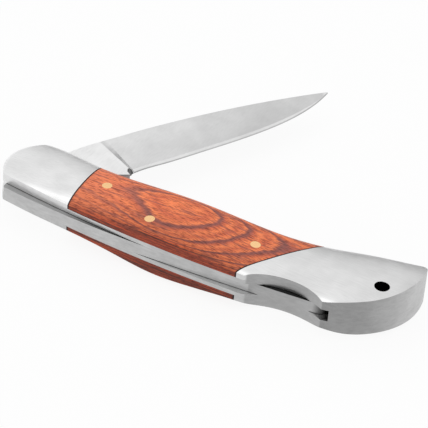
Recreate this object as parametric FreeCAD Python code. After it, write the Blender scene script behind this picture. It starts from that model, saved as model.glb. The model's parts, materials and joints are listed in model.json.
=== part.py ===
import FreeCAD, Part
import math
import os

# Folding lockback pocket knife lying on its side with the blade partly open.
# The handle is laid out round the blade pivot: X runs to the butt, Y runs from
# the spine to the belly, and Z is the axis of every pin, zero at mid-thickness.
# The finished pieces are moved so that the origin is on the lanyard hole's axis.

# Handle outline, measured from the blade pivot
HANDLE_REACH = 105.2
NOSE_RADIUS = 12.2
SPINE_HEIGHT = 11.4
SPINE_CREST_X = 39.7
SPINE_RADIUS = 390.0
BUTT_RADIUS = 22.5
BELLY_DROP = 20.5
NOSE_CORNER_ROUND = 1.2
BELLY_CORNER_ROUND = 2.2
NOSE_END_ANGLE = 108.0
BELLY_CORNER_ANGLE = 18.0

# Thickness across the handle
HANDLE_THICKNESS = 14.8
SLOT_WIDTH = 3.3
LINER_THICKNESS = 1.2
SPINE_ROLL = 3.6
BELLY_ROLL = 4.6

# Stations along the handle: place and belly line, then the heights of the spine
# edge, the crown and the belly edge as shares of half the thickness, and how
# full the rolls are: the spine's is tight on the front bolster, and the belly's
# flattens toward the butt into a broad ground strip
STATION_SHARES = (-0.14, -0.07, 0.0, 0.11, 0.25, 0.38, 0.49, 0.61, 0.74, 0.87, 1.03)
BELLY_SHARES = (0.56, 0.556, 0.551, 0.463, 0.483, 0.522, 0.537, 0.556, 0.634, 0.829, 1.088)
SPINE_EDGE_SHARES = (0.57, 0.57, 0.572, 0.549, 0.628, 0.804, 0.716, 0.595, 0.554, 0.568, 0.568)
CROWN_SHARES = (0.62, 0.665, 0.74, 0.858, 0.926, 1.0, 0.939, 0.811, 0.764, 0.797, 0.824)
BELLY_EDGE_SHARES = (0.42, 0.43, 0.45, 0.51, 0.52, 0.534, 0.534, 0.527, 0.572, 0.61, 0.655)
SPINE_FULL_SHARES = (0.8, 0.8, 0.72, 0.66, 0.82, 1.0, 1.0, 0.8, 0.6, 0.6, 0.7)
BELLY_FULL_SHARES = (1.0, 1.0, 1.0, 1.0, 1.0, 1.0, 1.0, 0.95, 0.75, 0.56, 0.52)

# Rolled shoulder of a section: distance in from the edge and rise to the crown
ROLL_WIDTH_SHARES = (-0.4, 0.0, 0.3, 1.0)
ROLL_RISE_SHARES = (-0.9, 0.0, 0.52, 0.88)
SECTION_PLACES = (0.0, 0.1, 0.17, 0.28, 0.5, 0.72, 0.83, 0.9, 1.0)
NOSE_EDGE_SHARE = 0.575
NOSE_RISE_SHARE = 0.14
NOSE_PEAK_SHARE = 1.48

# Seams between bolsters and scales
FRONT_SEAM_X = 13.0
FRONT_SEAM_SLOPE = -0.08
REAR_SEAM_INSET = 40.9
REAR_SEAM_SLOPE = 0.565
SEAM_GAP = 0.24

# Thumb notch over the lock bar
NOTCH_INSET = 26.0
NOTCH_RADIUS = 20.7
NOTCH_DEPTH = 3.2

# Pins, rivets and the lanyard hole
PIVOT_PIN_RADIUS = 2.2
PIVOT_CLEARANCE = 0.03
BRASS_PIN_RADIUS = 1.38
ROCKER_CLEARANCE = 0.04
FRONT_PIN_X = 18.4
FRONT_PIN_Y = 0.2
ROCKER_X = 35.9
ROCKER_Y = -6.8
REAR_PIN_INSET = 41.8
REAR_PIN_Y = 0.9
LANYARD_INSET = 6.8
LANYARD_Y = 4.7
LANYARD_RADIUS = 2.0
FLUSH_PIN_RADIUS = 1.1
BOLSTER_RIVET_SHARES = ((-0.55, -0.30), (0.55, 0.42))
BUTT_PIN_INSET = 11.0
BUTT_PIN_Y = -3.6
CORNER_PIN_INSET = 4.2
CORNER_PIN_Y = 12.0

# Blade, laid out in the closed position with its edge toward the spine
BLADE_THICKNESS = 3.0
BLADE_REST_ANGLE = 57.5
BLADE_SPINE_RADIUS = 413.0
BLADE_CREST_X = 67.0
BLADE_CREST_Y = 13.75
TIP_INSET = 10.8
HEEL_X = 22.6
HEEL_Y = -4.3
TIP_Y = 12.8
EDGE_STRAIGHT_SHARE = 0.47
EDGE_SWEEP_POWER = 5
PLUNGE_LEAN = 2.0
PLUNGE_RAMP = 1.5
BEVEL_WIDTH = 1.3
BEVEL_THICKNESS = 0.64
POINT_THINNING = 0.84
GRIND_SHARES = (0.15, 0.3, 0.45, 0.6, 0.72, 0.82, 0.9, 0.96, 0.995)
KICK_X = 21.4
KICK_DEPTH = 6.3
KICK_RAMP = 3.4
KICK_RISE = 1.3
CHOIL_RADIUS = 0.9
TANG_RADIUS = 8.4
SHOULDER_DROP = 0.6

# Nail nick on the blade's lower face
NICK_X = 50.0
NICK_BELOW_SPINE = 1.1
NICK_WIDTH = 1.5
NICK_DEPTH = 0.6
NICK_CUTTER_RADIUS = 40.0

# Lock bar, laid out flush with the spine; at rest the tang lifts its front end
BAR_THICKNESS = 3.1
BAR_REST_ANGLE = 4.1
BAR_END_INSET = 16.4
BAR_END_DEPTH = 3.4
BAR_NOSE_DROP = 1.2
BAR_TAIL_DROP = 1.4
BAR_BOSS_RADIUS = 2.6
BAR_WAIST = 0.8
BAR_END_ROUND = 0.8
BAR_HEEL_ROUND = 3.2
LUG_FRONT = 7.8
LUG_REAR = 4.2
LUG_Y = -4.6
ARM_FRONT_Y = -6.0
LOCK_CLEARANCE = 0.25
KICK_CLEARANCE = 0.2

# Butt spacer and leaf spring
SPACER_INSET = 15.2
SPACER_STEP_Y = 3.5
SPACER_TOE_INSET = 8.2
SPACER_TOE_Y = 9.0
SPRING_LENGTH = 30.0
SPRING_THICKNESS = 1.0
SPRING_WIDTH = 3.0
SPRING_ROOT_Y = -0.6
SPRING_ROOT_LENGTH = 4.5
SPRING_BOW = 0.3
SPRING_BEARING = 0.05

# Sizes that follow from the ones above
HALF = HANDLE_THICKNESS / 2
SLOT_HALF = SLOT_WIDTH / 2
LINER_TOP = SLOT_HALF + LINER_THICKNESS
SPINE_CENTRE_Y = SPINE_RADIUS - SPINE_HEIGHT
BUTT_X = HANDLE_REACH - BUTT_RADIUS
BUTT_Y = SPINE_CENTRE_Y - math.sqrt((SPINE_RADIUS - BUTT_RADIUS) ** 2 - (BUTT_X - SPINE_CREST_X) ** 2)
BLADE_CENTRE_Y = BLADE_CREST_Y - BLADE_SPINE_RADIUS
BLADE_HALF = BLADE_THICKNESS / 2
REAR_SEAM_X = HANDLE_REACH - REAR_SEAM_INSET
NOTCH_X = HANDLE_REACH - NOTCH_INSET
REAR_PIN_X = HANDLE_REACH - REAR_PIN_INSET
LANYARD_X = HANDLE_REACH - LANYARD_INSET
TIP_X = HANDLE_REACH - TIP_INSET
BAR_END_X = HANDLE_REACH - BAR_END_INSET
SPACER_X = HANDLE_REACH - SPACER_INSET
SPACER_TOE_X = HANDLE_REACH - SPACER_TOE_INSET
SPRING_TIP_X = SPACER_X - SPRING_LENGTH
UP = FreeCAD.Vector(0, 0, 1)


def at(x, y, z=0.0):
    return FreeCAD.Vector(x, y, z)


def on_circle(x, y, radius, degrees, z=0.0):
    turn = math.radians(degrees)
    return at(x + radius * math.cos(turn), y + radius * math.sin(turn), z)


def line(start, end):
    return Part.LineSegment(start, end).toShape()


def arc(start, through, end):
    return Part.Arc(start, through, end).toShape()


def spine_y(x):
    return SPINE_CENTRE_Y - math.sqrt(SPINE_RADIUS ** 2 - (x - SPINE_CREST_X) ** 2)


def slab(edges, low, high):
    face = Part.Face(Part.Wire(edges))
    face.translate(at(0, 0, low))
    return face.extrude(at(0, 0, high - low))


def polygon_slab(corners, low, high):
    closed = [at(x, y) for x, y in corners]
    closed.append(closed[0])
    return slab(Part.makePolygon(closed).Edges, low, high)


def round_bar(x, y, radius, low, high):
    return Part.makeCylinder(radius, high - low, at(x, y, low), UP)


def round_upright_edge(solid, corner, radius):
    chosen = []
    for edge in solid.Edges:
        ends = [vertex.Point for vertex in edge.Vertexes]
        if all(math.hypot(p.x - corner.x, p.y - corner.y) < SEAM_GAP for p in ends):
            chosen.append(edge)
    return solid.makeFillet(radius, chosen)


# Plan outline of the handle
def nose_spine_corner():
    reach = math.hypot(SPINE_CREST_X, SPINE_CENTRE_Y)
    along = (reach ** 2 + NOSE_RADIUS ** 2 - SPINE_RADIUS ** 2) / (2 * reach)
    aside = math.sqrt(NOSE_RADIUS ** 2 - along ** 2)
    ux = SPINE_CREST_X / reach
    uy = SPINE_CENTRE_Y / reach
    return at(along * ux - aside * uy, along * uy + aside * ux)


def handle_outline(low, high):
    belly_start = on_circle(0, 0, NOSE_RADIUS, NOSE_END_ANGLE)
    nose_corner = nose_spine_corner()
    butt_reach = math.hypot(BUTT_X - SPINE_CREST_X, BUTT_Y - SPINE_CENTRE_Y)
    spine_end = at(BUTT_X + (BUTT_X - SPINE_CREST_X) * BUTT_RADIUS / butt_reach,
                   BUTT_Y + (BUTT_Y - SPINE_CENTRE_Y) * BUTT_RADIUS / butt_reach)
    belly_corner = on_circle(BUTT_X, BUTT_Y, BUTT_RADIUS, BELLY_CORNER_ANGLE)
    belly_points = [belly_corner]
    for place, drop in reversed(list(zip(STATION_SHARES, BELLY_SHARES))[3:-1]):
        belly_points.append(at(place * HANDLE_REACH, drop * BELLY_DROP))
    belly_points.append(belly_start)
    belly = Part.BSplineCurve()
    belly.interpolate(belly_points)
    edges = [arc(belly_start, at(-NOSE_RADIUS, 0), nose_corner),
             arc(nose_corner, at(SPINE_CREST_X, -SPINE_HEIGHT), spine_end),
             arc(spine_end, on_circle(BUTT_X, BUTT_Y, BUTT_RADIUS, -BELLY_CORNER_ANGLE), belly_corner),
             belly.toShape()]
    solid = slab(edges, low, high)
    solid = round_upright_edge(solid, nose_corner, NOSE_CORNER_ROUND)
    return round_upright_edge(solid, belly_corner, BELLY_CORNER_ROUND)


# Crowned upper surface: sections with rolled shoulders lofted along the handle
def rolled_edge(inset, edge, rise, fullness=1.0):
    outer, rim, shoulder, top = ROLL_RISE_SHARES
    rises = (outer * fullness, rim, shoulder * fullness, top * (1 + fullness) / 2)
    return [(inset * width, edge + rise * share) for width, share in zip(ROLL_WIDTH_SHARES, rises)]


def crown_section(place, drop, spine_share, crown_share, belly_share, spine_full, belly_full):
    x = place * HANDLE_REACH
    spine = spine_y(x)
    belly = drop * BELLY_DROP
    top = crown_share * HALF
    spine_side = rolled_edge(SPINE_ROLL, spine_share * HALF, top - spine_share * HALF, spine_full)
    belly_side = rolled_edge(BELLY_ROLL, belly_share * HALF, top - belly_share * HALF, belly_full)
    points = [at(x, spine + inset, height) for inset, height in spine_side]
    points.append(at(x, (spine + belly) / 2, top))
    points += [at(x, belly - inset, height) for inset, height in reversed(belly_side)]
    curve = Part.BSplineCurve()
    curve.interpolate(Points=points, Parameters=list(SECTION_PLACES))
    low_first = at(x, points[0].y)
    low_last = at(x, points[-1].y)
    return Part.Wire([curve.toShape(), line(points[-1], low_last), line(low_last, low_first),
                      line(low_first, points[0])])


# Rolled rim of the nose, turned round the pivot; it leaves the rest of the handle alone
def nose_cap():
    edge = NOSE_EDGE_SHARE * HALF
    rise = NOSE_RISE_SHARE * HALF
    rolled = rolled_edge(SPINE_ROLL, edge, rise)
    points = [at(-NOSE_RADIUS + inset, 0, height) for inset, height in rolled]
    peak = at(0, 0, edge + rise * NOSE_PEAK_SHARE)
    curve = Part.BSplineCurve()
    curve.interpolate(points)
    outer = at(points[0].x, 0)
    rim = Part.Face(Part.Wire([curve.toShape(), line(points[-1], peak), line(peak, at(0, 0)),
                               line(at(0, 0), outer), line(outer, points[0])]))
    rest = Part.makeBox(HANDLE_REACH + NOSE_RADIUS, HANDLE_REACH, HANDLE_THICKNESS,
                        at(0, -HANDLE_REACH / 2))
    return rim.revolve(at(0, 0), UP, 360).fuse(rest)


stations = zip(STATION_SHARES, BELLY_SHARES, SPINE_EDGE_SHARES, CROWN_SHARES, BELLY_EDGE_SHARES,
               SPINE_FULL_SHARES, BELLY_FULL_SHARES)
crown = Part.makeLoft([crown_section(*station) for station in stations], True, False)
notch_y = spine_y(NOTCH_X) + NOTCH_DEPTH - NOTCH_RADIUS
notch = round_bar(NOTCH_X, notch_y, NOTCH_RADIUS, -HALF, HALF)
upper_half = handle_outline(LINER_TOP, HANDLE_THICKNESS).common(crown).common(nose_cap())
lower_half = upper_half.mirror(at(0, 0), UP)
whole_handle = upper_half.fuse([handle_outline(-LINER_TOP, LINER_TOP), lower_half])


# Fixed pins and rivets, their ends ground flush with the crowned surface
def flush_pin(x, y, radius, low=-HALF, high=HALF):
    return round_bar(x, y, radius, low, high).common(whole_handle)


bolster_rivet_places = [(x * NOSE_RADIUS, y * NOSE_RADIUS) for x, y in BOLSTER_RIVET_SHARES]
butt_pin_places = [(HANDLE_REACH - BUTT_PIN_INSET, BUTT_PIN_Y),
                   (HANDLE_REACH - CORNER_PIN_INSET, CORNER_PIN_Y)]
pivot_pin = flush_pin(0, 0, PIVOT_PIN_RADIUS)
rocker_pin = flush_pin(ROCKER_X, ROCKER_Y, BRASS_PIN_RADIUS)
front_rivet = flush_pin(FRONT_PIN_X, FRONT_PIN_Y, BRASS_PIN_RADIUS, SLOT_HALF)
rear_rivet = flush_pin(REAR_PIN_X, REAR_PIN_Y, BRASS_PIN_RADIUS, SLOT_HALF)
bolster_rivets = [flush_pin(x, y, FLUSH_PIN_RADIUS, SLOT_HALF) for x, y in bolster_rivet_places]
butt_pins = [flush_pin(x, y, FLUSH_PIN_RADIUS) for x, y in butt_pin_places]

holes = [round_bar(0, 0, PIVOT_PIN_RADIUS, -HALF, HALF),
         round_bar(ROCKER_X, ROCKER_Y, BRASS_PIN_RADIUS, -HALF, HALF),
         round_bar(FRONT_PIN_X, FRONT_PIN_Y, BRASS_PIN_RADIUS, -HALF, HALF),
         round_bar(REAR_PIN_X, REAR_PIN_Y, BRASS_PIN_RADIUS, -HALF, HALF),
         round_bar(LANYARD_X, LANYARD_Y, LANYARD_RADIUS, -HALF, HALF)]
for x, y in bolster_rivet_places + butt_pin_places:
    holes.append(round_bar(x, y, FLUSH_PIN_RADIUS, -HALF, HALF))

# Liners, bolsters and scales of the upper side
upper_liner = handle_outline(SLOT_HALF, LINER_TOP).cut([notch] + holes)
drilled_half = upper_half.cut([notch] + holes)


def seam_x(seam, slope, y):
    return seam + slope * (y - spine_y(seam))


def between_seams(left, right):
    corners = []
    for (seam, slope), y in ((left, -HANDLE_REACH), (right, -HANDLE_REACH),
                             (right, HANDLE_REACH), (left, HANDLE_REACH)):
        corners.append((seam_x(seam, slope, y), y))
    return polygon_slab(corners, -HALF, HALF)


half_gap = SEAM_GAP / 2
front_bolster = drilled_half.common(between_seams(
    (-HANDLE_REACH, FRONT_SEAM_SLOPE), (FRONT_SEAM_X - half_gap, FRONT_SEAM_SLOPE)))
scale = drilled_half.common(between_seams(
    (FRONT_SEAM_X + half_gap, FRONT_SEAM_SLOPE), (REAR_SEAM_X - half_gap, REAR_SEAM_SLOPE)))
rear_bolster = drilled_half.common(between_seams(
    (REAR_SEAM_X + half_gap, REAR_SEAM_SLOPE), (HANDLE_REACH + HANDLE_REACH, REAR_SEAM_SLOPE)))

# Butt spacer with the slot that holds the spring's root
spring_low = SPRING_ROOT_Y - SPRING_THICKNESS / 2
spring_high = SPRING_ROOT_Y + SPRING_THICKNESS / 2
spring_end_x = SPACER_X + SPRING_ROOT_LENGTH
far_x = HANDLE_REACH + NOSE_RADIUS
spacer_region = polygon_slab([(SPACER_X, -BUTT_RADIUS), (SPACER_X, SPACER_STEP_Y),
                              (SPACER_TOE_X, SPACER_TOE_Y), (SPACER_TOE_X, HANDLE_REACH),
                              (far_x, HANDLE_REACH), (far_x, -BUTT_RADIUS)], -SLOT_HALF, SLOT_HALF)
root_slot = polygon_slab([(SPACER_X - SPRING_ROOT_LENGTH, spring_low), (spring_end_x, spring_low),
                          (spring_end_x, spring_high), (SPACER_X - SPRING_ROOT_LENGTH, spring_high)],
                         -SLOT_HALF, SLOT_HALF)
butt_spacer = handle_outline(-SLOT_HALF, SLOT_HALF).common(spacer_region).cut([root_slot] + holes)

# Lock bar: lug in front, boss round the rocker pin, straight rear arm
bar_half = BAR_THICKNESS / 2
kick_y = -(KICK_DEPTH + KICK_CLEARANCE)
waist_y = ROCKER_Y + BAR_WAIST
crest = at(SPINE_CREST_X, -SPINE_HEIGHT)
bar_front = at(-LUG_FRONT, spine_y(-LUG_FRONT) + BAR_NOSE_DROP)
bar_rear = at(BAR_END_X, BAR_TAIL_DROP - SPINE_HEIGHT)
bar_rear_low = bar_rear + at(0, BAR_END_DEPTH)
bar_corners = [bar_rear, bar_rear_low, at(ROCKER_X, waist_y), at(ROCKER_X, kick_y), at(KICK_X, kick_y),
               at(-LUG_REAR, ARM_FRONT_Y), at(-LUG_REAR, LUG_Y), at(-LUG_FRONT, LUG_Y), bar_front]
bar_edges = [line(a, b) for a, b in zip(bar_corners, bar_corners[1:])]
front_mid_x = (bar_front.x + crest.x) / 2
tail_mid = at((crest.x + bar_rear.x) / 2, BAR_TAIL_DROP / 4 - SPINE_HEIGHT)
front_mid = at(front_mid_x, spine_y(front_mid_x) + BAR_NOSE_DROP / 4)
bar_edges.append(arc(bar_front, front_mid, crest))
bar_edges.append(arc(crest, tail_mid, bar_rear))
lock_bar = slab(bar_edges, -bar_half, bar_half)
lock_bar = round_upright_edge(lock_bar, bar_front, BAR_END_ROUND)
lock_bar = round_upright_edge(lock_bar, bar_rear, BAR_HEEL_ROUND)
lock_bar = lock_bar.fuse(round_bar(ROCKER_X, ROCKER_Y, BAR_BOSS_RADIUS, -bar_half, bar_half))
lock_bar = lock_bar.cut(round_bar(ROCKER_X, ROCKER_Y, BRASS_PIN_RADIUS + ROCKER_CLEARANCE, -HALF, HALF))
lock_bar = lock_bar.removeSplitter()
lock_bar.rotate(at(ROCKER_X, ROCKER_Y), UP, BAR_REST_ANGLE)

# Leaf spring: rooted in the butt spacer, its free end under the lock bar
arm_turn = math.atan2(bar_rear_low.y - waist_y, BAR_END_X - ROCKER_X) + math.radians(BAR_REST_ANGLE)
tip_y = waist_y + (SPRING_TIP_X - ROCKER_X) * math.tan(arm_turn) + SPRING_BEARING
mid_x = (SPRING_TIP_X + SPACER_X) / 2
mid_y = (tip_y + spring_low) / 2 + SPRING_BOW
spring_half = SPRING_WIDTH / 2
spring_edges = [arc(at(SPRING_TIP_X, tip_y), at(mid_x, mid_y), at(SPACER_X, spring_low)),
                line(at(SPACER_X, spring_low), at(spring_end_x, spring_low)),
                line(at(spring_end_x, spring_low), at(spring_end_x, spring_high)),
                line(at(spring_end_x, spring_high), at(SPACER_X, spring_high)),
                arc(at(SPACER_X, spring_high), at(mid_x, mid_y + SPRING_THICKNESS),
                    at(SPRING_TIP_X, tip_y + SPRING_THICKNESS)),
                line(at(SPRING_TIP_X, tip_y + SPRING_THICKNESS), at(SPRING_TIP_X, tip_y))]
lock_spring = slab(spring_edges, -spring_half, spring_half)


# Blade: ricasso and tang of even thickness, then the ground wedge to the point
def blade_spine_y(x):
    return BLADE_CENTRE_Y + math.sqrt(BLADE_SPINE_RADIUS ** 2 - (x - BLADE_CREST_X) ** 2)


def blade_edge_y(share):
    sweep = EDGE_STRAIGHT_SHARE * share + (1 - EDGE_STRAIGHT_SHARE) * share ** EDGE_SWEEP_POWER
    return HEEL_Y + (TIP_Y - HEEL_Y) * sweep


def blade_section(share, ground=True):
    edge_x = HEEL_X + (TIP_X - HEEL_X) * share
    spine_x = edge_x - PLUNGE_LEAN * (1 - share) ** 6
    spine = at(spine_x, blade_spine_y(spine_x))
    edge = at(edge_x, blade_edge_y(share))
    back = BLADE_HALF * (1 - POINT_THINNING * share ** 2.5)
    shoulder = edge
    flank = BLADE_HALF
    if ground:
        bevel = BEVEL_WIDTH * (1 - share ** 8)
        shoulder = edge + (spine - edge) * (bevel / (spine - edge).Length)
        flank = BEVEL_THICKNESS / 2 * (1 - share ** 8)
    corners = [spine + UP * back, shoulder + UP * flank, edge, shoulder - UP * flank, spine - UP * back]
    return Part.makePolygon(corners + [corners[0]])


ramp_share = PLUNGE_RAMP / (TIP_X - HEEL_X)
ramp = Part.makeLoft([blade_section(0.0, False), blade_section(ramp_share)], True, True)
wedge = Part.makeLoft([blade_section(share) for share in (ramp_share,) + GRIND_SHARES], True, False)

# The tang's round end lifts the bar; the flats on either side of it let the bar drop
shoulder_x = LUG_FRONT + LOCK_CLEARANCE
hook_x = LUG_REAR - LOCK_CLEARANCE
notch_floor = -LUG_Y - LOCK_CLEARANCE
open_flat = -ARM_FRONT_Y - LOCK_CLEARANCE
plunge_top_x = HEEL_X - PLUNGE_LEAN
ricasso_y = KICK_RISE - KICK_DEPTH
shoulder_top = at(shoulder_x, blade_spine_y(shoulder_x) - SHOULDER_DROP)
plunge_top = at(plunge_top_x, blade_spine_y(plunge_top_x))
spine_mid_x = (shoulder_x + plunge_top_x) / 2
round_start = at(-math.sqrt(TANG_RADIUS ** 2 - notch_floor ** 2), -notch_floor)
round_end = at(-math.sqrt(TANG_RADIUS ** 2 - open_flat ** 2), open_flat)
tang_corners = [plunge_top, at(HEEL_X, HEEL_Y), at(KICK_X, HEEL_Y), at(KICK_X, -KICK_DEPTH),
                at(KICK_X - KICK_RAMP, ricasso_y), at(0, ricasso_y), at(-hook_x, -notch_floor),
                round_start]
lock_corners = [round_end, at(hook_x, open_flat), at(hook_x, notch_floor),
                at(shoulder_x, notch_floor), shoulder_top]
tang_edges = [line(a, b) for a, b in zip(tang_corners, tang_corners[1:])]
tang_edges.append(arc(round_start, at(-TANG_RADIUS, 0), round_end))
tang_edges += [line(a, b) for a, b in zip(lock_corners, lock_corners[1:])]
tang_edges.append(arc(shoulder_top, at(spine_mid_x, blade_spine_y(spine_mid_x)), plunge_top))
tang = slab(tang_edges, -BLADE_HALF, BLADE_HALF)

nick_top_y = blade_spine_y(NICK_X) - NICK_BELOW_SPINE
nick_axis_z = -(BLADE_HALF - NICK_DEPTH + NICK_CUTTER_RADIUS)
nick_start = at(NICK_X, nick_top_y - NICK_WIDTH, nick_axis_z)
nick = Part.makeCylinder(NICK_CUTTER_RADIUS, NICK_WIDTH, nick_start, at(0, 1))
blade = tang.fuse([ramp, wedge]).removeSplitter()
blade = blade.cut([round_bar(0, 0, PIVOT_PIN_RADIUS + PIVOT_CLEARANCE, -HALF, HALF),
                   round_bar(HEEL_X, HEEL_Y, CHOIL_RADIUS, -HALF, HALF), nick])
blade.rotate(at(0, 0), UP, BLADE_REST_ANGLE)

# Pieces of the knife, the lower side mirrored from the upper one
pieces = {"blade": blade,
          "lock_bar": lock_bar,
          "lock_spring": lock_spring,
          "butt_spacer": butt_spacer,
          "pivot_pin": pivot_pin,
          "rocker_pin": rocker_pin,
          "butt_pins": Part.makeCompound(butt_pins)}
upper_side = {"liner": upper_liner,
              "front_bolster": front_bolster,
              "scale": scale,
              "rear_bolster": rear_bolster,
              "front_rivet": front_rivet,
              "rear_rivet": rear_rivet,
              "front_bolster_rivets": Part.makeCompound(bolster_rivets)}
for name, shape in upper_side.items():
    pieces["upper_" + name] = shape
    pieces["lower_" + name] = shape.mirror(at(0, 0), UP)

os.makedirs("parts", exist_ok=True)
for node, shape in pieces.items():
    placed = shape.copy()
    placed.translate(at(-LANYARD_X, -LANYARD_Y))
    placed.exportStep("parts/" + node + ".step")
    print(node, len(placed.Solids), round(placed.Volume, 1), placed.isValid())
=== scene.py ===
import json
import math

import bmesh
import bpy
from mathutils import Matrix, Vector


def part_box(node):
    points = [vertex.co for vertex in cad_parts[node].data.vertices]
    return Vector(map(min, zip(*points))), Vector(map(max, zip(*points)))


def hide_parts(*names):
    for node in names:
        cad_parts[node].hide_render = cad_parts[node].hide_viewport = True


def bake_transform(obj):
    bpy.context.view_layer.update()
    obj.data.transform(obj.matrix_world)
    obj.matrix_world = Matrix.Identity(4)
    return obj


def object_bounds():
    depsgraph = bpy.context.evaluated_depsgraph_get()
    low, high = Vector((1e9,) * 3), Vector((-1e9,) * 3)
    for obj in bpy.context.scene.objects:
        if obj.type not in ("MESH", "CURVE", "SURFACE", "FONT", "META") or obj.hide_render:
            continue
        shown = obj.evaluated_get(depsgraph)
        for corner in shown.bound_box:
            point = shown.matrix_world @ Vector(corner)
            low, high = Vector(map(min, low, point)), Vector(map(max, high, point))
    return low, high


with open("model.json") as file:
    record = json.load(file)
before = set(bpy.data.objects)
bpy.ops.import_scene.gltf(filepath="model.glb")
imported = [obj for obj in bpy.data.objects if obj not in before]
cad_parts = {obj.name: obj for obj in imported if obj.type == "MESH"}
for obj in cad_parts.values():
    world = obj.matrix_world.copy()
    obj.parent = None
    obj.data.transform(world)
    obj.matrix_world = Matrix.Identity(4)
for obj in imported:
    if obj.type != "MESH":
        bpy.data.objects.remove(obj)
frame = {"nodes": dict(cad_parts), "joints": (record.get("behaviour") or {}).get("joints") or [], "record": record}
cad_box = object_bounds()

# Camera fitted to the photograph: its place in metres from the lanyard hole, and its turns in degrees
PHOTO_PIXELS = 428
FOCAL_PIXELS = 2400
SENSOR_WIDTH = 36.0
CAMERA_PLACE = (0.187216, -0.456664, 0.36763)
CAMERA_AZIMUTH = 27.43
CAMERA_PITCH = 35.0
CAMERA_ROLL = -5.0

# Studio: a pale floor, an even sky that is darker low down behind the knife, with its levels given by
# the sine of the elevation, and one softbox above and to the left of the knife's middle
FLOOR_SIZE = 6.0
FLOOR_COLOR = (0.92, 0.92, 0.92, 1.0)
FLOOR_GLOW = 0.9
SKY_STOPS = ((0.0, 0.16), (0.2, 0.36), (0.5, 1.0), (1.0, 1.02))
OPEN_SKY = 0.95
BEHIND = (0.5, 1.0, 0.0)
BEHIND_REACH = (0.3, 0.6)
KEY_OFFSET = Vector((-0.28, -0.10, 0.63))
KEY_SIZE = 0.34
KEY_WATTS = 0.125

# Units, and values that all finishes share: where a noise mostly runs, and its middle
MILLIMETRES_PER_METRE = 1000.0
WHITE = (1.0, 1.0, 1.0)
NOISE_RANGE = (0.3, 0.7)
NOISE_MIDDLE = 0.5

# Textures: waves to the millimetre along each axis, and detail
CLOUDS = ((0.16, 0.16, 0.16), 2.0)
MOTTLE = ((0.5, 0.5, 1.6), 4.0)
BOLSTER_LINES = ((0.25, 7.0, 7.0), 4.0)
LINER_LINES = ((0.4, 5.0, 5.0), 4.0)
BAR_LINES = ((0.3, 5.0, 6.0), 4.0)
BLADE_LINES = ((5.0, 0.5, 5.0), 4.0)
WOOD_WAVE = ((0.05, 0.07, 0.1), 1.0)
WOOD_RIPPLE = ((0.3, 0.9, 0.9), 2.0)
WOOD_STREAKS = ((0.10, 1.1, 1.6), 3.0)
WOOD_PORES = ((0.55, 3.8, 3.8), 3.0)
WOOD_VENEERS = ((0.03, 0.5, 1.5), 2.0)
BRASS_SCUFFS = ((2.0, 6.0, 2.0), 3.0)

# Steel surface: tones of the texture, roughness, and the depth of the lines in metres
LINE_TONES = (0.88, 1.0)
CLOUD_TONES = (0.90, 1.0)
MOTTLE_TONES = (0.90, 1.04)
HANDLE_ROUGHNESS = (0.30, 0.42)
BLADE_ROUGHNESS = (0.28, 0.40)
POLISH_SHARE = 0.25
LINE_DEPTH = 0.00002
LINE_STRENGTH = 0.35

# Steel of the handle: pairs of a place in millimetres from the lanyard hole and a grey, for the tops
# and for the sides, which change beside the scale, from the rear bolster on and round the butt.
# The greys are painted light and shade: sides darker than tops, and the bar's top and heel painted
# dark as the shadow under the upper liner
TOP_SHADE_STOPS = ((-110.0, 0.93), (-75.0, 0.92), (-40.0, 0.87), (-6.0, 0.85), (10.0, 0.77))
BAR_TOP_SHADOW_STOPS = ((-110.0, 0.52), (-90.0, 0.46), (-84.0, 0.38), (-74.0, 0.14), (-60.0, 0.04))
NOSE_SIDE = ((-110.0, 0.60),)
SCALE_SIDE = ((-45.0, 0.56), (-31.3, 0.60))
REAR_SIDE = ((-31.1, 0.44), (-18.0, 0.45))
BUTT_SIDE = ((-10.3, 0.48), (-10.1, 0.34), (0.0, 0.38), (4.5, 0.50), (6.8, 0.64))
BAR_HEEL_SHADOW = ((-13.4, 0.48), (-11.6, 0.14), (-9.8, 0.02))
LINER_NOSE_SIDE = ((-110.0, 0.90), (-84.0, 0.86), (-66.0, 0.64))
BOLSTER_NOSE_SIDE = ((-110.0, 0.92), (-76.0, 0.90), (-60.0, 0.70), (-31.3, 0.76))
PLAIN_SIDES = NOSE_SIDE + SCALE_SIDE + REAR_SIDE + BUTT_SIDE
LINER_SIDES = LINER_NOSE_SIDE + SCALE_SIDE + REAR_SIDE + BUTT_SIDE
BOLSTER_SIDES = BOLSTER_NOSE_SIDE + REAR_SIDE + BUTT_SIDE
BAR_SIDES = NOSE_SIDE + SCALE_SIDE + REAR_SIDE + BAR_HEEL_SHADOW

# Where the handle's finish changes: from its lower to its upper half in millimetres, the lower half's sides
# painted darker as shade, from sides to tops and on the rounded shoulder, where a highlight is painted, by how
# level a face is, and in the bore, painted dark as shade, by radii from its axis
MIDDLE_BAND = (-1.0, 1.0)
TOP_FACING = (0.25, 0.6)
SHOULDER_START = (0.5, 0.7)
SHOULDER_END = (0.86, 0.94)
BORE_MARGIN = 1.04
BORE_SHADE = (0.012, 0.012, 0.012)

# Blade, in millimetres on the closed blade: its flank's greys, painted light and shade, by the distance
# from the pivot and by the height above the edge's heel, and the plunge line, which stands at the heel and leans
BLADE_SHADE_STOPS = ((22.0, 0.86), (50.0, 0.79), (72.0, 0.69), (84.0, 0.71))
BLADE_HEIGHT_SHADE_STOPS = ((1.0, 0.88), (6.0, 0.92), (14.0, 1.0))
HEEL_Y = -4.3
PLUNGE_PLACE = 22.6
PLUNGE_LEAN = 0.127
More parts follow.
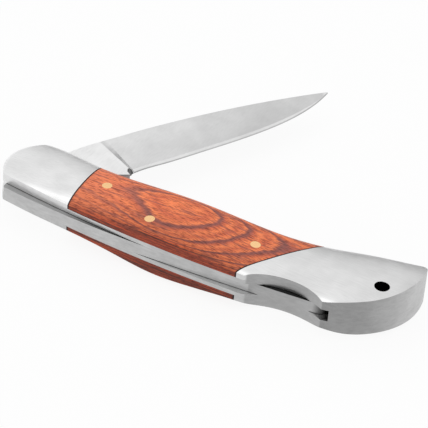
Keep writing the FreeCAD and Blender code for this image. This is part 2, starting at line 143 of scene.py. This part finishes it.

# Bands of the blade by the distance from the plunge line, but its edge by half thickness, its choil's top
# by height, and its bevel and walls by how level a face is; the edge, walls and choil are painted dark as shade
PLUNGE_BAND = (-0.3, 0.3)
PLUNGE_SHADE_STOPS = ((-0.3, 1.0), (0.2, 0.88), (1.6, 1.0))
BEVEL_START = (1.5, 2.5)
BEVEL_FACING = (0.965, 0.985)
EDGE_THICKNESS = (0.06, 0.14)
EDGE_FADE_BAND = (0.0, 30.0)
EDGE_FADE = (1.0, 0.6)
CHOIL_REAR = (-1.6, -0.8)
CHOIL_FRONT = (2.0, 3.5)
CHOIL_TOP = (1.5, 3.0)
WALL_FACING = (0.2, 0.6)
# Greys: a paler ricasso; painted reflection on the bevel and plunge faces; painted shade on the keen edge, the
# walls and the choil
RICASSO_STEEL = (0.98, 0.98, 0.98)
BEVEL_SHEEN = (0.86, 0.86, 0.86)
PLUNGE_SHEEN = (0.88, 0.88, 0.88)
EDGE_SHADOW = (0.26, 0.26, 0.26)
BLADE_WALL_SHADE = (0.5, 0.5, 0.5)
CHOIL_SHADOW = (0.20, 0.20, 0.20)

# Wood: dyed veneers, tilted and waved, with the ring that the photograph shows best cut at this height
# in millimetres, and the colours across one layer
RING_HEIGHT = 7.26
LAYERS_PER_MM = 1.43
LAYER_TILT = (-0.008, 0.045, 0.0)
LAYER_WAVE = 0.35
LAYER_RIPPLE = 0.25
WOOD_BRIGHT = (0.86, 0.215, 0.068)
WOOD_WARM = (0.62, 0.125, 0.045)
WOOD_BROWN = (0.29, 0.074, 0.055)
WOOD_LINE = (0.23, 0.066, 0.05)
WOOD_CALM = (0.76, 0.20, 0.085)
WOOD_EDGE = (0.60, 0.34, 0.20)
RING_STOPS = ((0.0, WOOD_LINE), (0.045, WOOD_BROWN), (0.13, WOOD_BRIGHT), (0.36, WOOD_WARM),
              (0.62, WOOD_BRIGHT), (0.82, WOOD_WARM), (0.95, WOOD_BROWN), (1.0, WOOD_LINE))
PORE_STOPS = ((0.34, (0.40, 0.30, 0.30)), (0.53, WHITE))
STREAK_RANGE = (0.50, 0.66)
STREAK_SHARE = 0.68
VENEER_TONES = (0.35, 1.5)

# Wood: calmer near the nose by x; painted light and shade: paler near the nose by x, darker at the spine
# by y and on the lower scale by z, all in millimetres; edge on by how level a face is, darker as painted
# shade the more it looks towards the spine
CALM_BAND = (-84.0, -62.0)
CALM_SHARE = 0.6
WOOD_LIGHT_FADE_STOPS = ((-80.0, 1.24), (-28.0, 1.08))
SPINE_WOOD_SHADE_STOPS = ((-15.0, 0.76), (-11.0, 0.90), (-6.0, 1.03), (8.0, 1.06))
LOWER_WOOD_SHADE_STOPS = ((-1.0, 0.74), (1.0, 1.0))
WOOD_EDGE_FACING = (0.55, 0.985)
SPINE_FACING = (-0.15, 0.15)
BELLY_EDGE_SHARE = 0.35

# Wood surface: roughness over the range of the pores, their depth in metres, and a dull lacquer
PORE_RANGE = (0.3, 0.6)
WOOD_ROUGHNESS = (0.5, 0.36)
PORE_DEPTH = 0.00003
PORE_STRENGTH = 0.3
WOOD_SPECULAR = 0.38

# Seams at both ends of the scales, in millimetres: x where each crosses the lanyard hole's line, its lean,
# the side that the wood is on, and how far the dark rim reaches into the wood
FRONT_SEAM = (-86.5, -0.08, 1.0)
REAR_SEAM = (-25.56, 0.565, -1.0)
SEAM_REACH = (0.08, 0.34)
SEAM_DARK = (0.22, 0.16, 0.14)

# Brass: colour, tones and roughness of its scuffs, and their depth in metres
BRASS = (0.98, 0.63, 0.31)
SCUFF_TONES = (0.94, 1.0)
BRASS_ROUGHNESS = (0.22, 0.36)
SCUFF_DEPTH = 0.00001
SCUFF_STRENGTH = 0.25

# Painted shade and dark joints in seams, recesses and crevices, from occlusion: how far it reaches from
# a neighbour, in metres, and what it leaves of a colour
SHADE_AND_GRIME_REACH = 0.0007
BAR_SHADE_AND_GRIME_REACH = 0.0011
BOLSTER_SHADE_AND_GRIME_REACH = 0.0003
LINER_SHADE_AND_GRIME_REACH = 0.0003
SHADE_SAMPLES = 12
SHADE_SHUT = 0.15
SHADE_OPEN = 0.75
STEEL_SHADE_AND_GRIME = (0.05, 0.05, 0.05)
WOOD_SHADE_AND_GRIME = (0.10, 0.07, 0.06)

# Leaf spring, in metres: it bends between its root in the butt and the part that follows the lock bar
SPRING_SECTION = 0.0005
LENGTHWISE = (1.0, 0.0, 0.0)


class Nodes:
    """Short calls that add nodes to a tree, each returning the socket that it ends in."""

    def __init__(self, tree):
        self.tree = tree

    def feed(self, socket, value):
        """Link a socket to another one, or set its constant."""
        if isinstance(value, bpy.types.NodeSocket):
            self.tree.links.new(value, socket)
        else:
            socket.default_value = value

    def math(self, operation, first, second=0.0):
        node = self.tree.nodes.new("ShaderNodeMath")
        node.operation = operation
        self.feed(node.inputs[0], first)
        self.feed(node.inputs[1], second)
        return node.outputs["Value"]

    def vector_math(self, operation, result, first, second=(0.0, 0.0, 0.0)):
        node = self.tree.nodes.new("ShaderNodeVectorMath")
        node.operation = operation
        self.feed(node.inputs[0], first)
        self.feed(node.inputs[1], second)
        return node.outputs[result]

    def part(self, vector, letter):
        node = self.tree.nodes.new("ShaderNodeSeparateXYZ")
        self.feed(node.inputs["Vector"], vector)
        return node.outputs[letter]

    def spread(self, value, band, ends=(0.0, 1.0), curve="SMOOTHSTEP"):
        """Carry a value from one end to the other over a band, and hold it outside."""
        node = self.tree.nodes.new("ShaderNodeMapRange")
        node.interpolation_type = curve
        self.feed(node.inputs["Value"], value)
        for name, number in zip(("From Min", "From Max", "To Min", "To Max"), (*band, *ends)):
            node.inputs[name].default_value = number
        return node.outputs["Result"]

    def until(self, value, band):
        """One before a band and zero after it."""
        return self.spread(value, band, (1.0, 0.0))

    def ramp(self, value, stops):
        node = self.tree.nodes.new("ShaderNodeValToRGB")
        self.feed(node.inputs["Fac"], value)
        elements = node.color_ramp.elements
        while len(elements) < len(stops):
            elements.new(1.0)
        for element, (position, color) in zip(elements, stops):
            element.position = position
            element.color = (*color, 1.0)
        return node.outputs["Color"]

    def tones(self, value, stops):
        """Greys along a value, given as pairs of value and tone."""
        first = stops[0][0]
        reach = stops[-1][0] - first
        share = self.math("DIVIDE", self.math("SUBTRACT", value, first), reach)
        return self.ramp(share, [((place - first) / reach, (tone,) * 3) for place, tone in stops])

    def mix(self, share, first, second, blend="MIX"):
        node = self.tree.nodes.new("ShaderNodeMix")
        node.data_type = "RGBA"
        node.blend_type = blend
        self.feed(node.inputs["Factor"], share)
        for socket, color in zip([s for s in node.inputs if s.type == "RGBA"], (first, second)):
            self.feed(socket, color if isinstance(color, bpy.types.NodeSocket) else (*color, 1.0))
        return [s for s in node.outputs if s.type == "RGBA"][0]

    def times(self, first, second):
        """One colour multiplied by another."""
        return self.mix(1.0, first, second, "MULTIPLY")


class Finish(Nodes):
    """A principled material and the nodes that give it its colour, roughness and bumps."""

    def __init__(self, name, metallic=0.0):
        self.material = bpy.data.materials.new(name)
        self.material.use_nodes = True
        super().__init__(self.material.node_tree)
        self.shader = self.tree.nodes["Principled BSDF"]
        self.shader.inputs["Metallic"].default_value = metallic
        coordinates = self.tree.nodes.new("ShaderNodeTexCoord")
        self.place = coordinates.outputs["Object"]
        self.facing = coordinates.outputs["Normal"]

    def millimetres(self, stretch=(1.0, 1.0, 1.0), turn=0.0, start=None):
        """The place in millimetres, turned about Z and stretched along each axis."""
        node = self.tree.nodes.new("ShaderNodeMapping")
        self.feed(node.inputs["Vector"], start or self.place)
        node.inputs["Rotation"].default_value = (0.0, 0.0, turn)
        node.inputs["Scale"].default_value = [share * MILLIMETRES_PER_METRE for share in stretch]
        return node.outputs["Vector"]

    def noise(self, waves, detail, turn=0.0, start=None):
        node = self.tree.nodes.new("ShaderNodeTexNoise")
        self.feed(node.inputs["Vector"], self.millimetres(waves, turn, start))
        node.inputs["Scale"].default_value = 1.0
        node.inputs["Detail"].default_value = detail
        return node.outputs["Fac"]

    def grey(self, noise, tones):
        """A noise as greys between two tones."""
        return self.ramp(noise, [(limit, (tone,) * 3) for limit, tone in zip(NOISE_RANGE, tones)])

    def level(self):
        """One where a face looks straight up or down, zero where it is upright."""
        return self.math("ABSOLUTE", self.part(self.facing, "Z"))

    def shade_and_grime(self, base, reach, dark):
        """Painted shade, with dark joints: darken a base where another surface is closer than the reach, in
        metres.
        """
        node = self.tree.nodes.new("ShaderNodeAmbientOcclusion")
        node.samples = SHADE_SAMPLES
        node.inputs["Distance"].default_value = reach
        open_share = self.spread(node.outputs["AO"], (SHADE_SHUT, SHADE_OPEN))
        return self.mix(open_share, self.times(base, dark), base)

    def color(self, value):
        self.feed(self.shader.inputs["Base Color"], value)

    def roughness(self, value):
        self.feed(self.shader.inputs["Roughness"], value)

    def bump(self, height, depth, strength):
        node = self.tree.nodes.new("ShaderNodeBump")
        node.inputs["Strength"].default_value = strength
        node.inputs["Distance"].default_value = depth
        self.feed(node.inputs["Height"], height)
        self.feed(self.shader.inputs["Normal"], node.outputs["Normal"])


def satin(finish, base, lines, rough, shade_reach=SHADE_AND_GRIME_REACH, highlight_and_polish=0.0):
    """Fine lines and faint clouds over a steel base, with painted shade in crevices, smoother where it is
    polished.
    """
    base = finish.times(base, finish.grey(lines, LINE_TONES))
    base = finish.times(base, finish.grey(finish.noise(*CLOUDS), CLOUD_TONES))
    finish.color(finish.shade_and_grime(base, shade_reach, STEEL_SHADE_AND_GRIME))
    dullness = finish.math("SUBTRACT", 1.0, finish.math("MULTIPLY", highlight_and_polish, POLISH_SHARE))
    finish.roughness(finish.math("MULTIPLY", finish.spread(lines, NOISE_RANGE, rough), dullness))
    finish.bump(lines, LINE_DEPTH, LINE_STRENGTH)
    return finish.material


def handle_steel(name, lines, tops, sides, lower_sides, shade_reach, edge_highlight_and_polish=0.0):
    """Satin steel brushed lengthwise, with mottled sides painted darker than the tops as shade, a painted
    highlight on the shoulder and the lanyard hole painted dark as shade.
    """
    finish = Finish(name, 1.0)
    place = finish.millimetres()
    along = finish.part(place, "X")
    above = finish.spread(finish.part(place, "Z"), MIDDLE_BAND)
    # Painted shade: sides take darker greys than tops, changing along the handle
    side = finish.mix(above, finish.tones(along, lower_sides), finish.tones(along, sides))
    side = finish.times(side, finish.grey(finish.noise(*MOTTLE), MOTTLE_TONES))
    level = finish.level()
    base = finish.mix(finish.spread(level, TOP_FACING), side, finish.tones(along, tops))
    # Painted highlight: the rounded shoulder's colour goes towards white, and it is also made smoother
    shoulder = finish.spread(level, SHOULDER_START)
    shoulder = finish.math("MULTIPLY", shoulder, finish.until(level, SHOULDER_END))
    highlight_and_polish = finish.math("MULTIPLY", shoulder, edge_highlight_and_polish)
    base = finish.mix(highlight_and_polish, base, WHITE)
    # Painted shade: the lanyard hole's wall is near black
    from_bore = finish.vector_math("LENGTH", "Value", finish.millimetres((1.0, 1.0, 0.0)))
    radius = frame["record"]["mounts"][0]["dims"]["r_mm"]
    base = finish.mix(finish.until(from_bore, (radius, radius * BORE_MARGIN)), base, BORE_SHADE)
    return satin(finish, base, finish.noise(*lines), HANDLE_ROUGHNESS, shade_reach, highlight_and_polish)


def blade_steel():
    """Ground steel with lines from back to edge, a paler ricasso, painted light and shade on the flank, and a dark
    line painted along the keen edge as shadow.
    """
    finish = Finish("blade_steel", 1.0)
    pivot = frame["joints"][0]
    from_pivot = finish.vector_math("SUBTRACT", "Vector", finish.place, pivot["pos_m"])
    closing = math.radians(pivot["range_deg"][0])
    place = finish.millimetres(turn=closing, start=from_pivot)
    height = finish.math("SUBTRACT", finish.part(place, "Y"), HEEL_Y)
    along = finish.math("ADD", finish.part(place, "X"), finish.math("MULTIPLY", height, PLUNGE_LEAN))
    from_plunge = finish.math("SUBTRACT", along, PLUNGE_PLACE)
    level = finish.level()
    # Painted light and shade: the flank darker towards the tip and towards the edge
    flank = finish.times(finish.tones(along, BLADE_SHADE_STOPS), finish.tones(height, BLADE_HEIGHT_SHADE_STOPS))
    base = finish.mix(finish.spread(from_plunge, PLUNGE_BAND), RICASSO_STEEL, flank)
    # Painted shade: a soft dark line along the plunge
    base = finish.times(base, finish.tones(from_plunge, PLUNGE_SHADE_STOPS))
    # Painted reflection: sloped faces, the bevel and the plunge's wall, get their own greys
    sloped = finish.until(level, BEVEL_FACING)
    slope_sheen = finish.mix(finish.spread(from_plunge, BEVEL_START), PLUNGE_SHEEN, BEVEL_SHEEN)
    base = finish.mix(sloped, base, slope_sheen)
    half_thickness = finish.math("ABSOLUTE", finish.part(place, "Z"))
    edge_fade = finish.spread(from_plunge, EDGE_FADE_BAND, EDGE_FADE)
    edge_shadow = finish.math("MULTIPLY", finish.until(half_thickness, EDGE_THICKNESS), edge_fade)
    # Painted shadow: a dark line along the keen edge
    base = finish.mix(finish.math("MULTIPLY", edge_shadow, sloped), base, EDGE_SHADOW)
    # Painted shade: upright walls are darker, and the choil's notch darkest, as shadow
    choil_shadow = finish.math("MULTIPLY", finish.until(from_plunge, CHOIL_FRONT), finish.until(height, CHOIL_TOP))
    choil_shadow = finish.math("MULTIPLY", choil_shadow, finish.spread(from_plunge, CHOIL_REAR))
    wall_shade = finish.mix(choil_shadow, BLADE_WALL_SHADE, CHOIL_SHADOW)
    base = finish.mix(finish.until(level, WALL_FACING), base, wall_shade)
    return satin(finish, base, finish.noise(*BLADE_LINES, closing, from_pivot), BLADE_ROUGHNESS)


def veneer_layer(finish, place):
    """How many layers a place is above the ring's height, with the stack tilted and waved."""
    tilt = finish.vector_math("DOT_PRODUCT", "Value", place, LAYER_TILT)
    height = finish.math("ADD", finish.math("ABSOLUTE", finish.part(place, "Z")), tilt)
    layer = finish.math("MULTIPLY", finish.math("SUBTRACT", height, RING_HEIGHT), LAYERS_PER_MM)
    for texture, layers in ((WOOD_WAVE, LAYER_WAVE), (WOOD_RIPPLE, LAYER_RIPPLE)):
        swing = finish.math("SUBTRACT", finish.noise(*texture), NOISE_MIDDLE)
        layer = finish.math("ADD", layer, finish.math("MULTIPLY", swing, layers))
    return layer


def laminated_wood():
    """Stacked dyed veneers: the crowned face cuts them into rings, the sides show them edge on."""
    finish = Finish("laminated_wood")
    place = finish.millimetres()
    x, y, z = [finish.part(place, letter) for letter in "XYZ"]
    rings = finish.ramp(finish.math("FRACT", veneer_layer(finish, place)), RING_STOPS)
    rings = finish.mix(finish.spread(x, CALM_BAND, (CALM_SHARE, 0.0)), rings, WOOD_CALM)
    streaks = finish.spread(finish.noise(*WOOD_STREAKS), STREAK_RANGE, (0.0, STREAK_SHARE))
    color = finish.mix(streaks, rings, WOOD_BROWN)
    pores = finish.noise(*WOOD_PORES)
    color = finish.times(color, finish.ramp(pores, PORE_STOPS))
    edges = finish.times(WOOD_EDGE, finish.grey(finish.noise(*WOOD_VENEERS), VENEER_TONES))
    # Edge-on veneers, painted darker as shade where a side looks towards the spine than towards the belly
    spine_side_shade = finish.spread(finish.part(finish.facing, "Y"), SPINE_FACING, (1.0, BELLY_EDGE_SHARE))
    edge_on_and_shade = finish.math("MULTIPLY", finish.until(finish.level(), WOOD_EDGE_FACING), spine_side_shade)
    color = finish.mix(edge_on_and_shade, color, finish.times(color, edges))
    # Painted light and shade: paler near the nose, darker at the spine and on the lower scale
    for value, stops in ((x, WOOD_LIGHT_FADE_STOPS), (y, SPINE_WOOD_SHADE_STOPS), (z, LOWER_WOOD_SHADE_STOPS)):
        color = finish.times(color, finish.tones(value, stops))
    for start, lean, inward in (FRONT_SEAM, REAR_SEAM):
        upright_x = finish.math("SUBTRACT", x, finish.math("MULTIPLY", y, lean))
        inset = finish.math("MULTIPLY", finish.math("SUBTRACT", upright_x, start), inward)
        color = finish.mix(finish.until(inset, SEAM_REACH), color, finish.times(color, SEAM_DARK))
    # Painted shade and dark joints where another part is close
    finish.color(finish.shade_and_grime(color, SHADE_AND_GRIME_REACH, WOOD_SHADE_AND_GRIME))
    finish.roughness(finish.spread(pores, PORE_RANGE, WOOD_ROUGHNESS))
    finish.bump(pores, PORE_DEPTH, PORE_STRENGTH)
    finish.shader.inputs["Specular IOR Level"].default_value = WOOD_SPECULAR
    return finish.material


def polished_brass():
    """Bright brass with faint scuffs."""
    finish = Finish("polished_brass", 1.0)
    scuffs = finish.noise(*BRASS_SCUFFS)
    finish.color(finish.times(BRASS, finish.grey(scuffs, SCUFF_TONES)))
    finish.roughness(finish.spread(scuffs, NOISE_RANGE, BRASS_ROUGHNESS))
    finish.bump(scuffs, SCUFF_DEPTH, SCUFF_STRENGTH)
    return finish.material


# Finish of each material slot
finishes = {
    "bolster_steel": handle_steel("bolster_steel", BOLSTER_LINES, TOP_SHADE_STOPS, BOLSTER_SIDES, PLAIN_SIDES,
                                  BOLSTER_SHADE_AND_GRIME_REACH, edge_highlight_and_polish=1.0),
    "liner_steel": handle_steel("liner_steel", LINER_LINES, TOP_SHADE_STOPS, LINER_SIDES, PLAIN_SIDES,
                                LINER_SHADE_AND_GRIME_REACH),
    "bar_steel": handle_steel("bar_steel", BAR_LINES, BAR_TOP_SHADOW_STOPS, BAR_SIDES, BAR_SIDES, BAR_SHADE_AND_GRIME_REACH),
    "blade_steel": blade_steel(),
    "pin_brass": polished_brass(),
    "scale_wood": laminated_wood(),
}
for subpart in frame["record"]["subparts"]:
    mesh = frame["nodes"][subpart["node"]].data
    mesh.materials.clear()
    mesh.materials.append(finishes[subpart["material_slot"]])

# Leaf spring, cut into short sections along its length, in a copy that takes the rigid part's place
rigid_spring = frame["nodes"]["lock_spring"]
spring_low, spring_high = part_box("lock_spring")
sections = bmesh.new()
sections.from_mesh(rigid_spring.data)
for count in range(1, int((spring_high[0] - spring_low[0]) / SPRING_SECTION)):
    cut = (spring_low[0] + count * SPRING_SECTION, 0.0, 0.0)
    geometry = sections.verts[:] + sections.edges[:] + sections.faces[:]
    bmesh.ops.bisect_plane(sections, geom=geometry, plane_co=cut, plane_no=LENGTHWISE)
spring_mesh = rigid_spring.data.copy()
sections.to_mesh(spring_mesh)
sections.free()
spring = bpy.data.objects.new("bending_spring", spring_mesh)
bpy.context.scene.collection.objects.link(spring)
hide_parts("lock_spring")
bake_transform(spring)

# Floor under the knife: to the camera and in reflections mostly a white glow, with a faint shadow left
floor_height = cad_box[0][2]
bpy.ops.mesh.primitive_plane_add(size=FLOOR_SIZE, location=(0.0, 0.0, floor_height))
floor = bpy.context.object
floor.name = "floor"
floor_material = bpy.data.materials.new("pale_floor")
floor_material.use_nodes = True
ground = Nodes(floor_material.node_tree)
ground.tree.nodes.remove(ground.tree.nodes["Principled BSDF"])
matte = ground.tree.nodes.new("ShaderNodeBsdfDiffuse")
matte.inputs["Color"].default_value = FLOOR_COLOR
glow = ground.tree.nodes.new("ShaderNodeEmission")
path = ground.tree.nodes.new("ShaderNodeLightPath").outputs
seen = ground.math("MAXIMUM", path["Is Camera Ray"], path["Is Glossy Ray"])
seen = ground.math("MAXIMUM", seen, path["Is Transmission Ray"])
blended = ground.tree.nodes.new("ShaderNodeMixShader")
ground.feed(blended.inputs["Fac"], ground.math("MULTIPLY", seen, FLOOR_GLOW))
ground.feed(blended.inputs[1], matte.outputs["BSDF"])
ground.feed(blended.inputs[2], glow.outputs["Emission"])
ground.feed(ground.tree.nodes["Material Output"].inputs["Surface"], blended.outputs["Shader"])
floor.data.materials.append(floor_material)

# Sky
world = bpy.data.worlds.new("studio")
bpy.context.scene.world = world
world.use_nodes = True
sky = Nodes(world.node_tree)
direction = sky.tree.nodes.new("ShaderNodeTexCoord").outputs["Generated"]
low_sky = sky.ramp(sky.part(direction, "Z"), [(sine, (tone,) * 3) for sine, tone in SKY_STOPS])
behind = sky.vector_math("DOT_PRODUCT", "Value", direction, BEHIND)
behind = sky.spread(behind, BEHIND_REACH, curve="LINEAR")
sky.feed(sky.tree.nodes["Background"].inputs["Color"], sky.mix(behind, (OPEN_SKY,) * 3, low_sky))

# Softbox
key = bpy.data.lights.new("key_box", "AREA")
key.size = KEY_SIZE
key.energy = KEY_WATTS
holder = bpy.data.objects.new("key_box", key)
holder.location = (Vector(cad_box[0]) + Vector(cad_box[1])) / 2 + KEY_OFFSET
holder.rotation_euler = (-KEY_OFFSET).to_track_quat("-Z", "Y").to_euler()
bpy.context.scene.collection.objects.link(holder)

# Camera
azimuth = math.radians(CAMERA_AZIMUTH)
pitch = math.radians(CAMERA_PITCH)
roll = math.radians(CAMERA_ROLL)
upright = Vector((0.0, 0.0, 1.0))
away = Vector((-math.sin(azimuth), math.cos(azimuth), 0.0))
sideways = Vector((math.cos(azimuth), math.sin(azimuth), 0.0))
down = -math.sin(pitch) * away - math.cos(pitch) * upright
ahead = math.cos(pitch) * away - math.sin(pitch) * upright
right = math.cos(roll) * sideways + math.sin(roll) * down
up = math.sin(roll) * sideways - math.cos(roll) * down
lens = bpy.data.cameras.new("camera")
lens.sensor_width = SENSOR_WIDTH
lens.lens = FOCAL_PIXELS / PHOTO_PIXELS * SENSOR_WIDTH
camera = bpy.data.objects.new("camera", lens)
camera.matrix_world = Matrix.Translation(CAMERA_PLACE) @ Matrix((right, up, -ahead)).transposed().to_4x4()
bpy.context.scene.collection.objects.link(camera)
bpy.context.scene.camera = camera
bpy.context.scene.view_settings.view_transform = "Standard"
